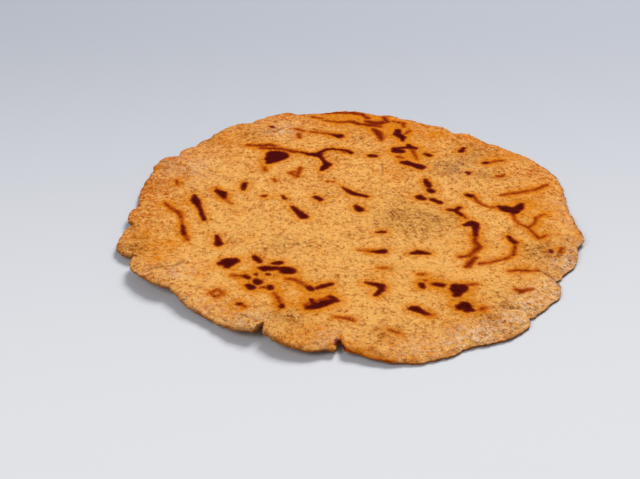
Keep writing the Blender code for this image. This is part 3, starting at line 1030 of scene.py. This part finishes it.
class FleckTree(NodeMaker):
    """The Geometry Nodes that scatter bran flecks over a surface."""

    def __init__(self, material):
        self.tree = bpy.data.node_groups.new("scatter_bran", "GeometryNodeTree")
        self.socket("Surface", "Geometry")
        self.socket("Density", "Float")
        self.socket("Fleck Length", "Float")
        self.socket("Seed", "Int")
        self.socket("Flecks", "Geometry", "OUTPUT")
        self.given = self.tree.nodes.new("NodeGroupInput").outputs
        self.lay(material)

    def socket(self, name, kind, way="INPUT"):
        self.tree.interface.new_socket(name, in_out=way, socket_type="NodeSocket" + kind)

    def node(self, kind, settings=None, sockets=None, output=0):
        """One output of a new node."""
        return self.add(kind, settings, sockets).outputs[output]

    def above(self, attribute, low, high):
        """0 where an attribute of the surface is up to low, 1 where it is over high."""
        settings = {"data_type": "FLOAT"}
        given = self.node("GeometryNodeInputNamedAttribute", settings, {"Name": attribute})
        sockets = {"Value": given, "From Min": low, "From Max": high}
        return self.node("ShaderNodeMapRange", {"clamp": True}, sockets)

    def random(self, kind, low, high, seed):
        """A random number or vector for each fleck, between two others."""
        first, output = (0, 0) if kind == "FLOAT_VECTOR" else (2, 1)
        sockets = {first: low, first + 1: high, "Seed": seed}
        return self.node("FunctionNodeRandomValue", {"data_type": kind}, sockets, output)

    def lay(self, material):
        """Flecks on the unburnt top, each turned and sized by chance, as one mesh."""
        unburnt = self.above("char", 0.5, 1.5)
        topside = self.above("through", 0.4, 0.6)
        sparse = self.node("ShaderNodeMath", MULTIPLIED, {0: unburnt, 1: topside})
        density = self.node("ShaderNodeMath", MULTIPLIED, {0: sparse, 1: self.given["Density"]})
        sockets = {"Mesh": self.given["Surface"], "Density": density, "Seed": self.given["Seed"]}
        points = self.add("GeometryNodeDistributePointsOnFaces", None, sockets)
        tone = self.random("FLOAT", 0.0, 1.0, 1)
        sockets = {"Geometry": points.outputs["Points"], "Name": "fleck_tone", "Value": tone}
        toned = self.node("GeometryNodeStoreNamedAttribute", {"data_type": "FLOAT"}, sockets)
        grain = self.node("GeometryNodeMeshIcoSphere", None, {"Radius": 0.5, "Subdivisions": 1})
        spin = self.random("FLOAT_VECTOR", (-0.2, -0.2, 0.0), (0.2, 0.2, math.tau), 2)
        settings = {"rotation_type": "EULER", "space": "LOCAL"}
        sockets = {"Rotation": points.outputs["Rotation"], "Rotate By": spin}
        turned = self.node("FunctionNodeRotateEuler", settings, sockets)
        shape = self.random("FLOAT_VECTOR", (0.5, 0.28, 0.14), (1.35, 0.6, 0.24), 3)
        sockets = {"Vector": shape, "Scale": self.given["Fleck Length"]}
        size = self.node("ShaderNodeVectorMath", {"operation": "SCALE"}, sockets)
        sockets = {"Points": toned, "Instance": grain, "Rotation": turned, "Scale": size}
        laid = self.node("GeometryNodeInstanceOnPoints", None, sockets)
        real = self.node("GeometryNodeRealizeInstances", None, {"Geometry": laid})
        sockets = {"Geometry": real, "Material": material}
        finished = self.node("GeometryNodeSetMaterial", None, sockets)
        self.add("NodeGroupOutput", None, {"Flecks": finished})

    def input_keys(self):
        """Each input's identifier by its name."""
        items = self.tree.interface.items_tree
        return {item.name: item.identifier for item in items if item.in_out == "INPUT"}


def scatter_flecks(skin, sizes, material):
    """Bran flecks over the bread's top and rim, as one plain mesh."""
    maker = FleckTree(material)
    seat = placed("fleck_seat", skin.data.copy())
    scatter = seat.modifiers.new("ScatterBran", "NODES")
    scatter.node_group = maker.tree
    keys = maker.input_keys()
    scatter[keys["Density"]] = sizes.flecks_per_cm2 * CM2_PER_M2
    scatter[keys["Fleck Length"]] = sizes.fleck_length
    scatter[keys["Seed"]] = sizes.fleck_seed
    graph = bpy.context.evaluated_depsgraph_get()
    mesh = bpy.data.meshes.new_from_object(seat.evaluated_get(graph))
    bpy.data.objects.remove(seat)
    mesh.name = "roti_bran"
    mesh.shade_smooth()
    return placed("roti_bran", mesh)


# ---------------------------------------------------------------- settings


class RotiSizes(bpy.types.PropertyGroup):
    """Sizes of what lies on the bread."""

    fleck_length: FloatProperty(
        name="Fleck Length",
        description="Length of a middling fleck of bran",
        default=FLECK_LENGTH * MM,
        unit="LENGTH",
    )
    flecks_per_cm2: FloatProperty(
        name="Flecks per cm2",
        description="How thickly the bran lies on the crust",
        default=FLECKS_PER_CM2,
    )
    fleck_seed: IntProperty(
        name="Fleck Seed",
        description="Which scatter of the flecks is used",
        default=FLECK_SEED,
    )


def colour_property(name, description, red, green, blue):
    """A colour setting, whose default is given as the 0 to 255 values of a screen."""
    return FloatVectorProperty(
        name=name,
        description=description,
        subtype="COLOR",
        size=3,
        default=linear(red, green, blue),
        min=0.0,
        max=1.0,
    )


class RotiCrust(bpy.types.PropertyGroup):
    """Colours of the crust."""

    pale: colour_property("Pale", "Lightly baked crust", 255, 187, 98)
    warm: colour_property("Warm", "Well baked crust", 208, 104, 6)
    amber: colour_property("Amber", "Crust browned around a burn", 236, 138, 14)
    dusky: colour_property("Dusky", "Crust left grey-brown", 180, 114, 42)
    bran: colour_property("Bran", "Dark bran in the dough", 136, 56, 2)
    flour: colour_property("Flour", "Pale flour on the crust", 255, 204, 130)
    # Painted highlight: this pale colour stands in for the shine on the crinkles' crests.
    highlit_crest: colour_property("Crest", "Dried crests of the crinkles", 255, 214, 168)
    husk: colour_property("Husk", "Straw-coloured flecks", 234, 158, 76)
    fleck: colour_property("Fleck", "Darkest flecks of husk", 158, 74, 14)
    # The same colour is also used for painted shade on the lower side of the rim and the
    # underside.
    rim: colour_property("Rim", "Dried edge", 140, 68, 16)
    ember: colour_property("Ember", "Edges of the toasted marks", 206, 98, 8)
    toast: colour_property("Toast", "Toasted marks", 156, 50, 0)
    scorch: colour_property("Scorch", "Edges of the burns", 106, 10, 1)
    char: colour_property("Char", "Middles of the burns", 70, 3, 1)


class RotiStage(bpy.types.PropertyGroup):
    """Camera, floor and light."""

    lens: FloatProperty(
        name="Lens",
        description="Focal length in millimetres",
        default=CAMERA_LENS,
        subtype="DISTANCE_CAMERA",
    )
    key_power: FloatProperty(
        name="Key Power",
        description="Power of the large light behind the bread",
        default=KEY_POWER,
        unit="POWER",
    )
    side_power: FloatProperty(
        name="Side Power",
        description="Power of the light on the left",
        default=SIDE_POWER,
        unit="POWER",
    )
    sky_strength: FloatProperty(
        name="Sky Strength",
        description="Brightness of the light all round",
        default=SKY_STRENGTH,
    )
    floor: colour_property("Floor", "The board near the camera", 230, 231, 235)
    # Painted shade: the far floor is darker and bluer where the light falls off behind the bread.
    floor_far_shade: colour_property("Far Floor", "The board behind the bread", 180, 184, 194)


# ---------------------------------------------------------------- stage


def aimed(name, data, place, target):
    """A new lamp or camera that stands at a place and looks at a target."""
    made = placed(name, data)
    made.location = place
    made.rotation_euler = (Vector(target) - Vector(place)).to_track_quat("-Z", "Y").to_euler()
    return made


def soft_light(name, power, place, size, tint):
    lamp = bpy.data.lights.new(name, "AREA")
    lamp.shape = "SQUARE"
    lamp.size = size
    lamp.energy = power
    lamp.color = tint
    return aimed(name, lamp, place, (0, 0, 0))


def make_floor(stage):
    bpy.ops.mesh.primitive_plane_add(size=FLOOR_SIZE, location=(0, 0, 0))
    floor = bpy.context.object
    floor.name = "stage_floor"
    floor.data.materials.append(floor_finish(stage))
    return floor


def make_camera(stage):
    camera = bpy.data.cameras.new("camera")
    camera.lens = stage.lens
    camera.sensor_width = SENSOR_WIDTH
    camera.clip_start = 0.01
    return aimed("camera", camera, camera_place(), CAMERA_AIM)


def make_sky(strength):
    sky = bpy.data.worlds.new("soft_sky")
    sky.use_nodes = True
    backdrop = sky.node_tree.nodes["Background"]
    backdrop.inputs["Color"].default_value = SKY_TINT
    backdrop.inputs["Strength"].default_value = strength
    return sky


# ---------------------------------------------------------------- operators


class ROTI_OT_skin(bpy.types.Operator):
    """Make the bread's baked skin around its solid"""

    bl_idname = "roti.make_skin"
    bl_label = "Make Baked Skin"
    bl_options = {"REGISTER", "UNDO"}

    def execute(self, context):
        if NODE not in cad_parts:
            raise RuntimeError("the frame holds no roti")
        skin = make_skin()
        skin.data.materials.append(crust_finish(context.scene.roti_crust))
        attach(skin, "root")
        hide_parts(NODE)
        return {"FINISHED"}


class ROTI_OT_bran(bpy.types.Operator):
    """Scatter flecks of bran over the crust"""

    bl_idname = "roti.scatter_bran"
    bl_label = "Scatter Bran"
    bl_options = {"REGISTER", "UNDO"}

    def execute(self, context):
        skin = bpy.data.objects.get("roti_skin")
        if skin is None:
            raise RuntimeError("the skin comes before the bran")
        scene = context.scene
        flecks = scatter_flecks(skin, scene.roti_sizes, bran_finish(scene.roti_crust))
        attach(flecks, "root")
        return {"FINISHED"}


class ROTI_OT_stage(bpy.types.Operator):
    """Lay the floor, hang the lights and stand the camera"""

    bl_idname = "roti.set_stage"
    bl_label = "Set Stage"
    bl_options = {"REGISTER", "UNDO"}

    def execute(self, context):
        scene = context.scene
        stage = scene.roti_stage
        make_floor(stage)
        soft_light("key_light", stage.key_power, *KEY_LAMP)
        soft_light("side_light", stage.side_power, *SIDE_LAMP)
        scene.world = make_sky(stage.sky_strength)
        scene.camera = make_camera(stage)
        scene.view_settings.view_transform = "Standard"
        return {"FINISHED"}


class ROTI_PT_panel(bpy.types.Panel):
    """The roti's steps and settings"""

    bl_idname = "ROTI_PT_panel"
    bl_label = "Roti"
    bl_space_type = "VIEW_3D"
    bl_region_type = "UI"
    bl_category = "Roti"

    def draw(self, context):
        layout = self.layout
        for operator in (ROTI_OT_skin, ROTI_OT_bran, ROTI_OT_stage):
            layout.operator(operator.bl_idname)
        for group in ("roti_sizes", "roti_crust", "roti_stage"):
            settings = getattr(context.scene, group)
            for name in settings.__annotations__:
                layout.prop(settings, name)


CLASSES = (
    RotiSizes,
    RotiCrust,
    RotiStage,
    ROTI_OT_skin,
    ROTI_OT_bran,
    ROTI_OT_stage,
    ROTI_PT_panel,
)
GROUPS = {"roti_sizes": RotiSizes, "roti_crust": RotiCrust, "roti_stage": RotiStage}


def register():
    for made in CLASSES:
        bpy.utils.register_class(made)
    for name, group in GROUPS.items():
        setattr(bpy.types.Scene, name, PointerProperty(type=group))


def unregister():
    for name in GROUPS:
        delattr(bpy.types.Scene, name)
    for made in reversed(CLASSES):
        bpy.utils.unregister_class(made)


def main():
    register()
    bpy.ops.roti.make_skin()
    bpy.ops.roti.scatter_bran()
    bpy.ops.roti.set_stage()


if __name__ == "__main__":
    main()
